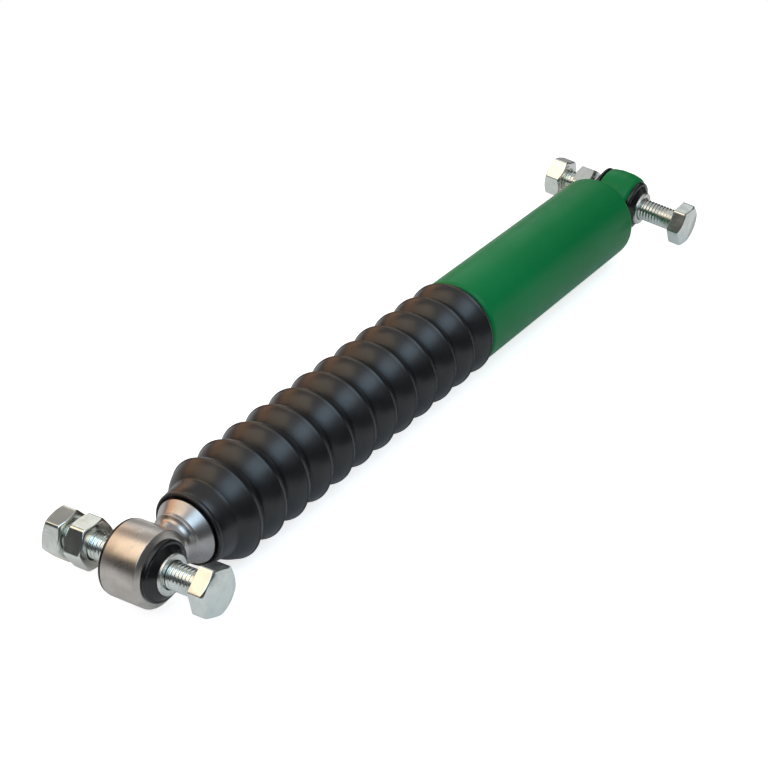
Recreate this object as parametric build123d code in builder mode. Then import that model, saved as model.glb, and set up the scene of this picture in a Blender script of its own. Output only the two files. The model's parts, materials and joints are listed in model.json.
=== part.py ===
from build123d import *
import math
import os

# All sizes are in millimetres. X runs along the damper from the rod eye to the body eye,
# Y runs along the body eye's bolt from its head to its nuts, and Z is up.
# The origin is the centre of the body eye.

# Whole damper, fully extended
eye_distance = 341.0
rod_eye_turn = -8.9  # degrees about X from the body eye's bolt to the rod eye's bolt
running_clearance = 0.05
loose_clearance = 0.3
edge_chamfer = 0.6
cut_margin = 1.0  # how far a cutting shape runs past what it cuts

# Outer tube, with its end rolled over the rod guide
tube_diameter = 38.6
tube_wall = 1.8
tube_length = 122.7
tube_base_offset = 21.3  # from the body eye's centre to the tube's closed end
tube_base_thickness = 2.5
tube_shoulder_radius = 3.5
roll_radius = 1.9

# Eyes: a ring, a rubber bush and a steel sleeve on one axis
rod_ring_diameter = 28.0
rod_ring_width = 16.6
rod_ring_chamfer = 1.2  # along the bolt, on the head side only
rod_ring_chamfer_depth = 2.2
rod_ring_edge_break = 0.3
body_ring_diameter = 27.0
body_ring_width = 16.2
body_ring_rounding = 2.2
bush_diameter = 22.0
bush_lip_height = 1.5  # rounded lip over the ring's face
bush_lip_overlap = 0.35
bush_lip_inset = 0.7
bush_nose_height = 3.9  # conical nose round the sleeve, from the ring's face
bush_flange_inset = 0.4  # the flange on the nut side, inside the ring's edge
bush_flange_thickness = 1.2
sleeve_diameter = 15.0
sleeve_bore = 10.5
sleeve_length = 26.0
sleeve_chamfer = 0.4

# Bolts and nuts, M10 with 17 mm across flats
bolt_diameter = 9.8
bolt_length = 65.0
bolt_point = 0.9
across_flats = 17.0
head_height = 6.4
nut_height = 8.0
nut_bore_chamfer = 0.6
nut_overhang = 0.6  # how far the outer nut's face stands past the bolt's end
rod_head_gap = 13.4  # from the sleeve's end to the underside of the head
rod_nut_gap = 7.8  # from the sleeve's other end to the inner nut
body_head_gap = 17.2
body_nut_gap = 1.0
hex_chamfer_ratio = 0.95

# Foot that joins the body eye to the tube
foot_base_diameter = 22.2
foot_waist_diameter = 15.0
foot_waist_offset = 5.1  # from the tube's closed end
foot_root_diameter = 11.4
foot_fillet_radius = 8.0

# Rod end fitting: neck, shoulder, dished flange and the spigot that holds the bellows
neck_diameter = 16.0
shoulder_diameter = 19.6
shoulder_offset = 16.4
shoulder_chamfer = 0.5
shoulder_land = 1.4
neck_fillet_length = 2.4
flange_diameter = 25.4
flange_offset = 22.2
flange_rim = 0.6
flange_edge_break = 0.3
spigot_diameter = 22.4
collar_diameter = 24.4
spigot_length = 8.0
collar_length = 2.4

# Bellows
convolution_count = 12
last_convolution_share = 0.72
crest_diameter = 40.8
convolution_depth = 5.1
bellows_wall = 1.6
cuff_diameter = 29.2
cuff_root_diameter = 31.4
cuff_length = 8.7
cuff_rounding = 0.9
last_crest_drop = 0.3
end_flange_diameter = 36.0

# Piston rod and piston
rod_diameter = 11.0
rod_stud_diameter = 9.0
rod_stud_length = 13.0
rod_tail_diameter = 8.0
stop_diameter = 19.0
stop_length = 3.0
stop_gap = 0.3
disc_diameter = 19.0
disc_thickness = 0.6
disc_count = 3
disc_step = 1.5
piston_length = 10.0
piston_gap = 0.4
piston_ring_width = 5.0
piston_ring_thickness = 1.1
piston_port_diameter = 2.6
piston_port_count = 6
piston_port_circle = 16.0
piston_nut_flats = 13.0
piston_nut_height = 6.5
rod_tail_projection = 1.2

# Pressure tube, rod guide, seal and base valve
cylinder_bore = 25.0
cylinder_wall = 1.5
guide_flange_length = 8.0
guide_spigot_length = 3.0
guide_boss_diameter = 24.0
guide_boss_length = 6.0
seal_diameter = 18.0
seal_length = 4.5
seal_recess = 6.5
seal_lip_thickness = 1.0
seal_groove_depth = 1.6
retainer_length = 1.2
base_valve_flange = 3.0
base_valve_foot = 2.2
base_valve_spigot = 4.0
base_valve_slots = 4
base_valve_slot_width = 5.0
base_valve_port_circle = 14.0
base_valve_pin_diameter = 5.0
base_valve_pin_head = 9.0
base_valve_pin_head_height = 1.5

# Stations along X, worked out from the sizes above
rod_eye_x = -eye_distance
tube_end_x = -tube_base_offset
tube_mouth_x = tube_end_x - tube_length
tube_floor_x = tube_end_x - tube_base_thickness
guide_x = tube_mouth_x + tube_wall
guide_spigot_x = guide_x + guide_flange_length
guide_inner_x = guide_spigot_x + guide_spigot_length
stop_x = guide_inner_x + stop_gap
compression_disc_x = stop_x + stop_length
stack_length = disc_count * disc_thickness
piston_x = compression_disc_x + stack_length
rebound_disc_x = piston_x + piston_length
piston_nut_x = rebound_disc_x + stack_length
rod_tail_x = piston_nut_x + piston_nut_height + rod_tail_projection
flange_x = rod_eye_x + flange_offset
spigot_x = flange_x + flange_rim
spigot_end_x = spigot_x + spigot_length
cuff_x = spigot_x + loose_clearance
cuff_end_x = cuff_x + cuff_length
bellows_end_x = tube_mouth_x - loose_clearance
pitch = (bellows_end_x - cuff_end_x) / (convolution_count - 1 + last_convolution_share)
base_valve_x = tube_floor_x - base_valve_foot - base_valve_flange

# Radii that pieces share
tube_radius = tube_diameter / 2
tube_inner_radius = tube_radius - tube_wall
cylinder_radius = cylinder_bore / 2
cylinder_outer_radius = cylinder_radius + cylinder_wall
rod_radius = rod_diameter / 2
tail_radius = rod_tail_diameter / 2
sleeve_radius = sleeve_diameter / 2
bolt_radius = bolt_diameter / 2
boss_radius = guide_boss_diameter / 2
mouth_radius = boss_radius + loose_clearance
tail_hole_radius = tail_radius + running_clearance
bush_radius = bush_diameter / 2
hex_corner_radius = across_flats / math.sqrt(3)
chamfer_slope = math.tan(math.radians(30))

side = Plane.XZ  # profiles drawn here hold (x, radius) and are turned about X


def eye_plane(x, turn):
    """Local X runs along the damper and local Y along the eye's bolt, towards its nuts."""
    angle = math.radians(turn)
    return Plane(origin=(x, 0, 0), x_dir=(1, 0, 0), z_dir=(0, -math.sin(angle), math.cos(angle)))


def bolt_axis(plane):
    return Axis(plane.origin, plane.y_dir)


def bolt_section(plane, distance):
    """A plane square to the bolt, at a distance from the eye's centre towards the nuts."""
    return Plane(origin=plane.origin + plane.y_dir * distance, x_dir=plane.x_dir, z_dir=plane.y_dir)


def save(part, name):
    part.label = name
    export_step(part, f"parts/{name}.step")


def turned(points):
    """A solid turned about X from a closed outline of (x, radius) points."""
    with BuildPart() as piece:
        with BuildSketch(side):
            with BuildLine():
                Polyline(*points, close=True)
            make_face()
        revolve(axis=Axis.X)
    return piece.part


def ring_solid(x, length, outer, inner):
    """A plain ring about X, given by its radii."""
    return turned([(x, inner), (x + length, inner), (x + length, outer), (x, outer)])


def eye_bush(plane, ring_radius, ring_width):
    """Rubber bush: a lip and a conical nose on the head side, a flange and a nose on the nut side."""
    inner = sleeve_radius + running_clearance
    half = ring_width / 2
    lip_foot_radius = bush_radius + bush_lip_overlap
    lip_radius = bush_radius - bush_lip_inset
    flange_edge = ring_radius - bush_flange_inset
    with BuildPart() as bush:
        with BuildSketch(plane):
            with BuildLine():
                TangentArc(
                    (lip_foot_radius, -half),
                    (lip_radius, -half - bush_lip_height),
                    tangent=(0, -1),
                )
                Polyline(
                    (lip_radius, -half - bush_lip_height),
                    (inner, -half - bush_nose_height),
                    (inner, half + bush_nose_height),
                    (lip_radius, half + bush_lip_height),
                    (flange_edge, half + bush_flange_thickness),
                    (flange_edge, half),
                    (bush_radius, half),
                    (bush_radius, -half),
                    (lip_foot_radius, -half),
                )
            make_face()
        revolve(axis=bolt_axis(plane))
    return bush.part


def eye_sleeve(plane):
    with BuildPart() as sleeve:
        with BuildSketch(bolt_section(plane, -sleeve_length / 2)):
            Circle(sleeve_radius)
            Circle(sleeve_bore / 2, mode=Mode.SUBTRACT)
        extrude(amount=sleeve_length)
        chamfer(sleeve.edges().filter_by(GeomType.CIRCLE), length=sleeve_chamfer)
    return sleeve.part


def hex_cone(plane, start, length, near_end, far_end):
    """The turned envelope that takes the corners off a hexagon's faces."""
    flat_radius = across_flats / 2 * hex_chamfer_ratio
    drop = (hex_corner_radius - flat_radius) * chamfer_slope
    end = start + length
    near_radius = flat_radius if near_end else hex_corner_radius
    far_radius = flat_radius if far_end else hex_corner_radius
    with BuildPart() as cone:
        with BuildSketch(plane):
            with BuildLine():
                Polyline(
                    (0, start),
                    (near_radius, start),
                    (hex_corner_radius, start + (drop if near_end else drop / 2)),
                    (hex_corner_radius, end - (drop if far_end else drop / 2)),
                    (far_radius, end),
                    (0, end),
                    close=True,
                )
            make_face()
        revolve(axis=bolt_axis(plane))
    return cone.part


def hex_bolt(plane, head_gap, corner_angle):
    """Hexagon head bolt. Its head is on the side away from the nuts."""
    underside = -sleeve_length / 2 - head_gap
    tip = underside + bolt_length
    envelope = hex_cone(plane, underside - head_height, head_height, True, False)
    with BuildPart() as bolt:
        with BuildSketch(bolt_section(plane, underside - head_height)):
            RegularPolygon(hex_corner_radius, 6, rotation=corner_angle)
        extrude(amount=head_height)
        add(envelope, mode=Mode.INTERSECT)
        with BuildSketch(plane):
            with BuildLine():
                Polyline(
                    (0, underside),
                    (bolt_radius, underside),
                    (bolt_radius, tip - bolt_point),
                    (bolt_radius - bolt_point, tip),
                    (0, tip),
                    close=True,
                )
            make_face()
        revolve(axis=bolt_axis(plane))
    return bolt.part


def hex_nut(plane, start, corner_angle):
    bore_radius = bolt_radius + running_clearance
    envelope = hex_cone(plane, start, nut_height, True, True)
    with BuildPart() as nut:
        with BuildSketch(bolt_section(plane, start)):
            RegularPolygon(hex_corner_radius, 6, rotation=corner_angle)
        extrude(amount=nut_height)
        add(envelope, mode=Mode.INTERSECT)
        with BuildSketch(bolt_section(plane, start)):
            Circle(bore_radius)
        extrude(amount=nut_height, mode=Mode.SUBTRACT)
        chamfer(
            nut.edges().filter_by(GeomType.CIRCLE).group_by(SortBy.RADIUS)[0],
            length=nut_bore_chamfer,
        )
    return nut.part


os.makedirs("parts", exist_ok=True)

rod_eye = eye_plane(rod_eye_x, rod_eye_turn)
body_eye_place = eye_plane(0, 0)

# Outer tube: closed end with a rounded shoulder, open end rolled inward over the guide
with BuildPart() as outer_tube:
    with BuildSketch(side) as outline:
        with BuildLine():
            Polyline(
                (tube_mouth_x, mouth_radius),
                (tube_mouth_x, tube_radius),
                (tube_end_x, tube_radius),
                (tube_end_x, 0),
                (tube_floor_x, 0),
                (tube_floor_x, tube_inner_radius),
                (guide_x, tube_inner_radius),
                (guide_x, mouth_radius),
                close=True,
            )
        make_face()
        fillet(outline.vertices().group_by(Axis.Y)[-1].sort_by(Axis.X)[-1], radius=tube_shoulder_radius)
        fillet(outline.vertices().group_by(Axis.Y)[-1].sort_by(Axis.X)[0], radius=roll_radius)
    revolve(axis=Axis.X)
save(outer_tube.part, "outer_tube")

# Body eye: a ring on a flared foot that is welded to the tube's closed end
foot_waist = (tube_end_x + foot_waist_offset, foot_waist_diameter / 2)
with BuildPart() as body_eye:
    with BuildSketch(bolt_section(body_eye_place, -body_ring_width / 2)):
        Circle(body_ring_diameter / 2)
    extrude(amount=body_ring_width)
    fillet(body_eye.edges().filter_by(GeomType.CIRCLE), radius=body_ring_rounding)
    with BuildSketch(side):
        with BuildLine():
            Line((tube_end_x, 0), (tube_end_x, foot_base_diameter / 2))
            RadiusArc((tube_end_x, foot_base_diameter / 2), foot_waist, -foot_fillet_radius)
            Line(foot_waist, (-bush_radius, foot_root_diameter / 2))
            Line((-bush_radius, foot_root_diameter / 2), (-bush_radius, 0))
            Line((-bush_radius, 0), (tube_end_x, 0))
        make_face()
    revolve(axis=Axis.X)
    with BuildSketch(bolt_section(body_eye_place, -body_ring_width / 2 - cut_margin)):
        Circle(bush_radius)
    extrude(amount=body_ring_width + 2 * cut_margin, mode=Mode.SUBTRACT)
save(body_eye.part, "body_eye")

# Rod end fitting, turned from one bar: ring, neck, shoulder, dished flange, spigot and collar
neck_radius = neck_diameter / 2
shoulder_radius = shoulder_diameter / 2
shoulder_x = rod_eye_x + shoulder_offset
flange_radius = flange_diameter / 2
spigot_radius = spigot_diameter / 2
collar_radius = collar_diameter / 2
neck_end_x = shoulder_x - neck_fillet_length
shoulder_top_x = shoulder_x + shoulder_chamfer
stud_radius = rod_stud_diameter / 2
ring_radius = rod_ring_diameter / 2
ring_half = rod_ring_width / 2
with BuildPart() as rod_end:
    with BuildSketch(side):
        with BuildLine():
            Line((rod_eye_x, 0), (rod_eye_x, neck_radius))
            Line((rod_eye_x, neck_radius), (neck_end_x, neck_radius))
            TangentArc(
                (neck_end_x, neck_radius),
                (shoulder_x, shoulder_radius - shoulder_chamfer),
                tangent=(1, 0),
            )
            Polyline(
                (shoulder_x, shoulder_radius - shoulder_chamfer),
                (shoulder_top_x, shoulder_radius),
                (shoulder_top_x + shoulder_land, shoulder_radius),
                (flange_x, flange_radius - flange_edge_break),
                (flange_x + flange_edge_break, flange_radius),
                (spigot_x, flange_radius),
                (spigot_x, spigot_radius),
                (spigot_end_x - collar_length, spigot_radius),
                (spigot_end_x - collar_length, collar_radius),
                (spigot_end_x - edge_chamfer, collar_radius),
                (spigot_end_x, collar_radius - edge_chamfer),
                (spigot_end_x, 0),
                (rod_eye_x, 0),
            )
        make_face()
    revolve(axis=Axis.X)
    with BuildSketch(rod_eye):
        with BuildLine():
            Polyline(
                (0, -ring_half),
                (ring_radius - rod_ring_chamfer_depth, -ring_half),
                (ring_radius, rod_ring_chamfer - ring_half),
                (ring_radius, ring_half - rod_ring_edge_break),
                (ring_radius - rod_ring_edge_break, ring_half),
                (0, ring_half),
                close=True,
            )
        make_face()
    revolve(axis=bolt_axis(rod_eye))
    with BuildSketch(bolt_section(rod_eye, -ring_half - cut_margin)):
        Circle(bush_radius)
    extrude(amount=rod_ring_width + 2 * cut_margin, mode=Mode.SUBTRACT)
    with BuildSketch(Plane.YZ.offset(spigot_end_x)):
        Circle(stud_radius + running_clearance)
    extrude(amount=-rod_stud_length, mode=Mode.SUBTRACT)
save(rod_end.part, "rod_end")

# Rubber bushes, steel sleeves, bolts and nuts, the same at both eyes
rod_sizes = (ring_radius, rod_ring_width, rod_head_gap, rod_nut_gap)
body_sizes = (body_ring_diameter / 2, body_ring_width, body_head_gap, body_nut_gap)
rod_hex_angles = (21, 1, 51)  # degrees: the bolt's head, the inner nut and the outer nut
body_hex_angles = (58, 32, 19)
for name, plane, sizes, hex_angles in (
    ("rod", rod_eye, rod_sizes, rod_hex_angles),
    ("body", body_eye_place, body_sizes, body_hex_angles),
):
    eye_ring_radius, ring_width, head_gap, nut_gap = sizes
    bolt_end = bolt_length - sleeve_length / 2 - head_gap
    inner_nut_start = sleeve_length / 2 + nut_gap
    outer_nut_start = bolt_end + nut_overhang - nut_height
    save(eye_bush(plane, eye_ring_radius, ring_width), f"{name}_eye_bush")
    save(eye_sleeve(plane), f"{name}_eye_sleeve")
    save(hex_bolt(plane, head_gap, hex_angles[0]), f"{name}_bolt")
    save(hex_nut(plane, inner_nut_start, hex_angles[1]), f"{name}_inner_nut")
    save(hex_nut(plane, outer_nut_start, hex_angles[2]), f"{name}_outer_nut")

# Bellows: a cuff over the fitting's spigot, round bulges with sharp valleys between them, and an
# end flange that seats on the guide's boss in front of the tube's rolled mouth
crest_radius = crest_diameter / 2
valley_radius = crest_radius - convolution_depth
cuff_inner_radius = spigot_radius + loose_clearance
pocket_radius = collar_radius + loose_clearance
pocket_x = spigot_end_x - collar_length - loose_clearance
cuff_root = (cuff_end_x, cuff_root_diameter / 2)
valleys = [cuff_end_x + i * pitch for i in range(convolution_count)]
bulges = list(zip(valleys[:-1], valleys[1:]))
last_valley = (valleys[-1], valley_radius)
last_crest = (valleys[-1] + pitch / 2, crest_radius - last_crest_drop)
end_flange_radius = end_flange_diameter / 2


def bulge_arc_radius(crest):
    """Radius of the arc that rises from a valley to a crest half a pitch away."""
    rise = crest - valley_radius
    return ((pitch / 2) ** 2 + rise**2) / (2 * rise)


def bulge_height(crest, distance, wall):
    """Distance from X of a bulge's surface, or of its wall's inner face, beside the crest."""
    arc = bulge_arc_radius(crest)
    return crest - arc + math.sqrt((arc - wall) ** 2 - distance**2)


def inner_half_width(crest):
    """Half the width of a bulge's hollow at the foot of its wall."""
    arc = bulge_arc_radius(crest)
    foot = inner_valley_radius - (crest - arc)
    return math.sqrt((arc - bellows_wall) ** 2 - foot**2)


inner_valley_radius = valley_radius - bellows_wall
inner_crest_radius = crest_radius - bellows_wall
inner_land = pitch / 2 - inner_half_width(crest_radius)
inner_last_crest = (last_crest[0], last_crest[1] - bellows_wall)
inner_last_foot = (last_crest[0] - inner_half_width(last_crest[1]), inner_valley_radius)
boss_hole = boss_radius + loose_clearance
inside_x = bellows_end_x - bellows_wall
with BuildPart() as bellows:
    with BuildSketch(side):
        with BuildLine():
            Polyline(
                (cuff_x, cuff_inner_radius),
                (cuff_x, cuff_diameter / 2 - cuff_rounding),
                (cuff_x + cuff_rounding, cuff_diameter / 2),
                cuff_root,
            )
            # the first bulge starts on the cuff, the others in a valley
            for left, right in bulges:
                foot = cuff_root if left == cuff_end_x else (left, valley_radius)
                ThreePointArc(foot, ((left + right) / 2, crest_radius), (right, valley_radius))
            ThreePointArc(
                last_valley,
                (last_crest[0] - pitch / 4, bulge_height(last_crest[1], pitch / 4, 0)),
                last_crest,
            )
            TangentArc(last_crest, (bellows_end_x, end_flange_radius), tangent=(1, 0))
            Polyline(
                (bellows_end_x, end_flange_radius),
                (bellows_end_x, boss_hole),
                (inside_x, boss_hole),
                (inside_x, end_flange_radius - bellows_wall),
                inner_last_crest,
            )
            ThreePointArc(
                inner_last_crest,
                (last_crest[0] - pitch / 4, bulge_height(last_crest[1], pitch / 4, bellows_wall)),
                inner_last_foot,
            )
            hollow_end = inner_last_foot
            for left, right in reversed(bulges):
                Line(hollow_end, (right - inner_land, inner_valley_radius))
                ThreePointArc(
                    (right - inner_land, inner_valley_radius),
                    ((left + right) / 2, inner_crest_radius),
                    (left + inner_land, inner_valley_radius),
                )
                hollow_end = (left + inner_land, inner_valley_radius)
            Polyline(
                hollow_end,
                (cuff_end_x, pocket_radius),
                (pocket_x, pocket_radius),
                (pocket_x, cuff_inner_radius),
                (cuff_x, cuff_inner_radius),
            )
        make_face()
    revolve(axis=Axis.X)
save(bellows.part, "bellows")

# Piston rod, with a stud in the rod end fitting and a tail through the piston
rod_start_x = spigot_end_x - rod_stud_length + loose_clearance
save(
    turned(
        [
            (rod_start_x, 0),
            (rod_start_x, stud_radius),
            (spigot_end_x, stud_radius),
            (spigot_end_x, rod_radius),
            (compression_disc_x, rod_radius),
            (compression_disc_x, tail_radius),
            (rod_tail_x - edge_chamfer, tail_radius),
            (rod_tail_x, tail_radius - edge_chamfer),
            (rod_tail_x, 0),
        ]
    ),
    "piston_rod",
)

save(
    ring_solid(stop_x, stop_length, stop_diameter / 2, rod_radius + running_clearance),
    "rebound_stop",
)

# Disc stacks on both faces of the piston, each disc smaller than the one before it
for name, start, direction in (
    ("compression_discs", piston_x, -1),
    ("rebound_discs", rebound_disc_x, 1),
):
    with BuildPart() as discs:
        for i in range(disc_count):
            with BuildSketch(Plane.YZ.offset(start + direction * i * disc_thickness)):
                Circle(disc_diameter / 2 - disc_step * i)
                Circle(tail_hole_radius, mode=Mode.SUBTRACT)
            extrude(amount=direction * disc_thickness)
    save(discs.part, name)

# Piston: ports on a circle and a groove for its ring
piston_radius = cylinder_radius - piston_gap
groove_radius = piston_radius - piston_ring_thickness
groove_x = piston_x + (piston_length - piston_ring_width) / 2
with BuildPart() as piston:
    with BuildSketch(Plane.YZ.offset(piston_x)):
        Circle(piston_radius)
        Circle(tail_hole_radius, mode=Mode.SUBTRACT)
        with PolarLocations(piston_port_circle / 2, piston_port_count):
            Circle(piston_port_diameter / 2, mode=Mode.SUBTRACT)
    extrude(amount=piston_length)
    with BuildSketch(Plane.YZ.offset(groove_x)):
        Circle(piston_radius + cut_margin)
        Circle(groove_radius, mode=Mode.SUBTRACT)
    extrude(amount=piston_ring_width, mode=Mode.SUBTRACT)
save(piston.part, "piston")

save(
    ring_solid(
        groove_x,
        piston_ring_width,
        cylinder_radius - running_clearance,
        groove_radius + running_clearance,
    ),
    "piston_ring",
)

with BuildPart() as piston_nut:
    with BuildSketch(Plane.YZ.offset(piston_nut_x)):
        RegularPolygon(piston_nut_flats / math.sqrt(3), 6)
        Circle(tail_hole_radius, mode=Mode.SUBTRACT)
    extrude(amount=piston_nut_height)
save(piston_nut.part, "piston_nut")

# Pressure tube between the guide and the base valve
save(
    ring_solid(guide_spigot_x, base_valve_x - guide_spigot_x, cylinder_outer_radius, cylinder_radius),
    "pressure_tube",
)

# Rod guide: flange under the rolled mouth, boss through it, spigot in the pressure tube
guide_bore = rod_radius + running_clearance
seal_recess_radius = seal_diameter / 2 + running_clearance
boss_x = tube_mouth_x - guide_boss_length
seal_recess_x = boss_x + seal_recess
with BuildPart() as rod_guide:
    with BuildSketch(side):
        with BuildLine():
            Polyline(
                (boss_x, seal_recess_radius),
                (boss_x, boss_radius - edge_chamfer),
                (boss_x + edge_chamfer, boss_radius),
                (guide_x, boss_radius),
                (guide_x, tube_inner_radius - running_clearance),
                (guide_spigot_x, tube_inner_radius - running_clearance),
                (guide_spigot_x, cylinder_radius - running_clearance),
                (guide_inner_x, cylinder_radius - running_clearance),
                (guide_inner_x, guide_bore),
                (seal_recess_x, guide_bore),
                (seal_recess_x, seal_recess_radius),
                close=True,
            )
        make_face()
    revolve(axis=Axis.X)
save(rod_guide.part, "rod_guide")

# Rod seal with a grooved front face, and the disc that keeps it in
seal_x = seal_recess_x - seal_length
seal_radius = seal_diameter / 2
save(
    turned(
        [
            (seal_x, guide_bore),
            (seal_x, guide_bore + seal_lip_thickness),
            (seal_x + seal_groove_depth, (guide_bore + seal_radius) / 2),
            (seal_x, seal_radius - seal_lip_thickness),
            (seal_x, seal_radius),
            (seal_recess_x, seal_radius),
            (seal_recess_x, guide_bore),
        ]
    ),
    "rod_seal",
)
save(
    ring_solid(seal_x - retainer_length, retainer_length, seal_radius, rod_radius + loose_clearance),
    "seal_retainer",
)

pin_hole_radius = base_valve_pin_diameter / 2 + running_clearance

# Base valve: a slotted foot on the tube's floor, a flange under the pressure tube and a ported spigot
with BuildPart() as base_valve:
    with BuildSketch(Plane.YZ.offset(base_valve_x)):
        Circle(cylinder_outer_radius)
    extrude(amount=base_valve_flange + base_valve_foot)
    with BuildSketch(Plane.YZ.offset(base_valve_x)):
        Circle(cylinder_radius - running_clearance)
    extrude(amount=-base_valve_spigot)
    with BuildSketch(Plane.YZ.offset(tube_floor_x)):
        with PolarLocations(0, base_valve_slots):
            Rectangle(2 * (cylinder_outer_radius + cut_margin), base_valve_slot_width)
    extrude(amount=-base_valve_foot, mode=Mode.SUBTRACT)
    with BuildSketch(Plane.YZ.offset(tube_floor_x)):
        with PolarLocations(base_valve_port_circle / 2, piston_port_count):
            Circle(piston_port_diameter / 2)
        Circle(pin_hole_radius)
    extrude(
        amount=-(base_valve_foot + base_valve_flange + base_valve_spigot),
        mode=Mode.SUBTRACT,
    )
save(base_valve.part, "base_valve")

base_face_x = base_valve_x - base_valve_spigot
base_disc_x = base_face_x - disc_thickness
pin_head_x = base_disc_x - base_valve_pin_head_height
pin_end_x = tube_floor_x - loose_clearance
save(
    ring_solid(base_disc_x, disc_thickness, disc_diameter / 2, pin_hole_radius),
    "base_valve_disc",
)
save(
    turned(
        [
            (pin_head_x, 0),
            (pin_head_x, base_valve_pin_head / 2),
            (base_disc_x, base_valve_pin_head / 2),
            (base_disc_x, base_valve_pin_diameter / 2),
            (pin_end_x, base_valve_pin_diameter / 2),
            (pin_end_x, 0),
        ]
    ),
    "base_valve_pin",
)

print(f"bellows pitch {pitch:.2f} mm, room for the rod's travel {pin_head_x - rod_tail_x:.1f} mm")
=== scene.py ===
import json
import math

import bmesh
import bpy
from mathutils import Matrix, Vector


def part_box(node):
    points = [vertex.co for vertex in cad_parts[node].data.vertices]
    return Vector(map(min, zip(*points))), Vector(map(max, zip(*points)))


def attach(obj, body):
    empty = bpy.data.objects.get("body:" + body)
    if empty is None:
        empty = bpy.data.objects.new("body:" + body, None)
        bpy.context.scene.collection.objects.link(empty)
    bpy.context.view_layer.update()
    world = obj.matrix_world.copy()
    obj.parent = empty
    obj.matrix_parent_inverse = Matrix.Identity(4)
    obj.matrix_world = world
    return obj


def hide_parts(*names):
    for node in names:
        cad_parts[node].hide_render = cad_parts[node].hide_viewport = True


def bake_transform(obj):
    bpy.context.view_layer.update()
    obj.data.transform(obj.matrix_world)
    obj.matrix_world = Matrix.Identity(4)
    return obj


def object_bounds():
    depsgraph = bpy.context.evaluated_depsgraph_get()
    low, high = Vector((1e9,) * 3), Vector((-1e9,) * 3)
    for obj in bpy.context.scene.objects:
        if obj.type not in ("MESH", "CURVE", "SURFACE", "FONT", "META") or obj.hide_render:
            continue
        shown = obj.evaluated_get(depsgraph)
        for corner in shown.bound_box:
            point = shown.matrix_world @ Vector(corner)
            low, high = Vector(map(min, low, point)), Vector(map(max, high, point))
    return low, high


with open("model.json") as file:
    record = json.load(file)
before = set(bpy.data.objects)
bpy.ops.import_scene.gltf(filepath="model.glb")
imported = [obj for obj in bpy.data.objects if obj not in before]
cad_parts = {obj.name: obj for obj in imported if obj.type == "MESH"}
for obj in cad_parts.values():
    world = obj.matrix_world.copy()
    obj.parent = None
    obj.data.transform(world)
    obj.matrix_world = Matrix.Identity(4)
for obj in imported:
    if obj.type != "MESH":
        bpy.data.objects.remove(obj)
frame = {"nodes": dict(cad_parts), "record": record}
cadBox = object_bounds()
nodes = frame["nodes"]
mm = 0.001
print("frame loaded:", len(nodes), "nodes")


# Places and sizes read from the frame

def placeFrom(centre, along, side):
    # local Z lies along the given line, and local X as near to side as it can
    across = along.cross(side).normalized()
    side = across.cross(along)
    columns = (side, across, along, centre)
    return Matrix([[column[row] for column in columns] for row in range(3)] + [[0, 0, 0, 1]])


def eyePlace(mountName):
    mount = next(m for m in frame["record"]["mounts"] if m["name"] == mountName)
    return placeFrom(Vector(mount["pos_m"]), Vector(mount["axis"]).normalized(), Vector((1, 0, 0)))


def localSpots(node, place):
    # a CAD node's points as seen from the given place
    back = place.inverted()
    return [back @ v.co for v in nodes[node].data.vertices]


def spanAlong(node, place):
    heights = [spot.z for spot in localSpots(node, place)]
    return min(heights), max(heights)


def reachFrom(node, place):
    return max(math.hypot(spot.x, spot.y) for spot in localSpots(node, place))


def cornerAngle(node, place, low, high):
    # how far round the axis a hexagon's corner stands
    spots = [spot for spot in localSpots(node, place) if low <= spot.z <= high]
    far = max(spots, key=lambda spot: math.hypot(spot.x, spot.y))
    return math.atan2(far.y, far.x)


damperPlace = placeFrom(Vector((0, 0, 0)), Vector((1, 0, 0)), Vector((0, 0, 1)))
rodEye = eyePlace("rod_eye_centre")
bodyEye = eyePlace("body_eye_centre")


# Mesh making

def roundedOutline(corners, steps=5):
    # corners are (along, radius, rounding) in millimetres, and come back as metres
    points = []
    for i, (along, radius, rounding) in enumerate(corners):
        here = Vector((along, radius))
        if rounding <= 0:
            points.append(here)
            continue
        before = (Vector(corners[i - 1][:2]) - here).normalized()
        after = (Vector(corners[(i + 1) % len(corners)][:2]) - here).normalized()
        half = before.angle(after) / 2
        centre = here + (before + after).normalized() * rounding / math.sin(half)
        first = here + before * rounding / math.tan(half) - centre
        last = here + after * rounding / math.tan(half) - centre
        turn = math.atan2(first.cross(last), first.dot(last))
        for step in range(steps + 1):
            angle = turn * step / steps
            spin = Matrix.Rotation(angle, 2)
            points.append(centre + spin @ first)
    return [(point.x * mm, point.y * mm) for point in points]


def ringOf(bm, place, along, radius, columns):
    # a ring of points in metres, or one point where the radius is nothing
    if radius < 1e-7:
        return [bm.verts.new(place @ Vector((0, 0, along)))]
    ring = []
    for i in range(columns):
        angle = 2 * math.pi * i / columns
        spot = Vector((radius * math.cos(angle), radius * math.sin(angle), along))
        ring.append(bm.verts.new(place @ spot))
    return ring


def joinRings(bm, rings, closed):
    # faces between each ring and the next, and from the last back to the first if closed
    pairs = list(zip(rings, rings[1:]))
    if closed:
        pairs.append((rings[-1], rings[0]))
    for first, second in pairs:
        if len(first) == 1 and len(second) == 1:
            continue
        columns = max(len(first), len(second))
        for i in range(columns):
            j = (i + 1) % columns
            if len(first) == 1:
                bm.faces.new((first[0], second[i], second[j]))
            elif len(second) == 1:
                bm.faces.new((first[i], second[0], first[j]))
            else:
                bm.faces.new((first[i], second[i], second[j], first[j]))


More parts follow.
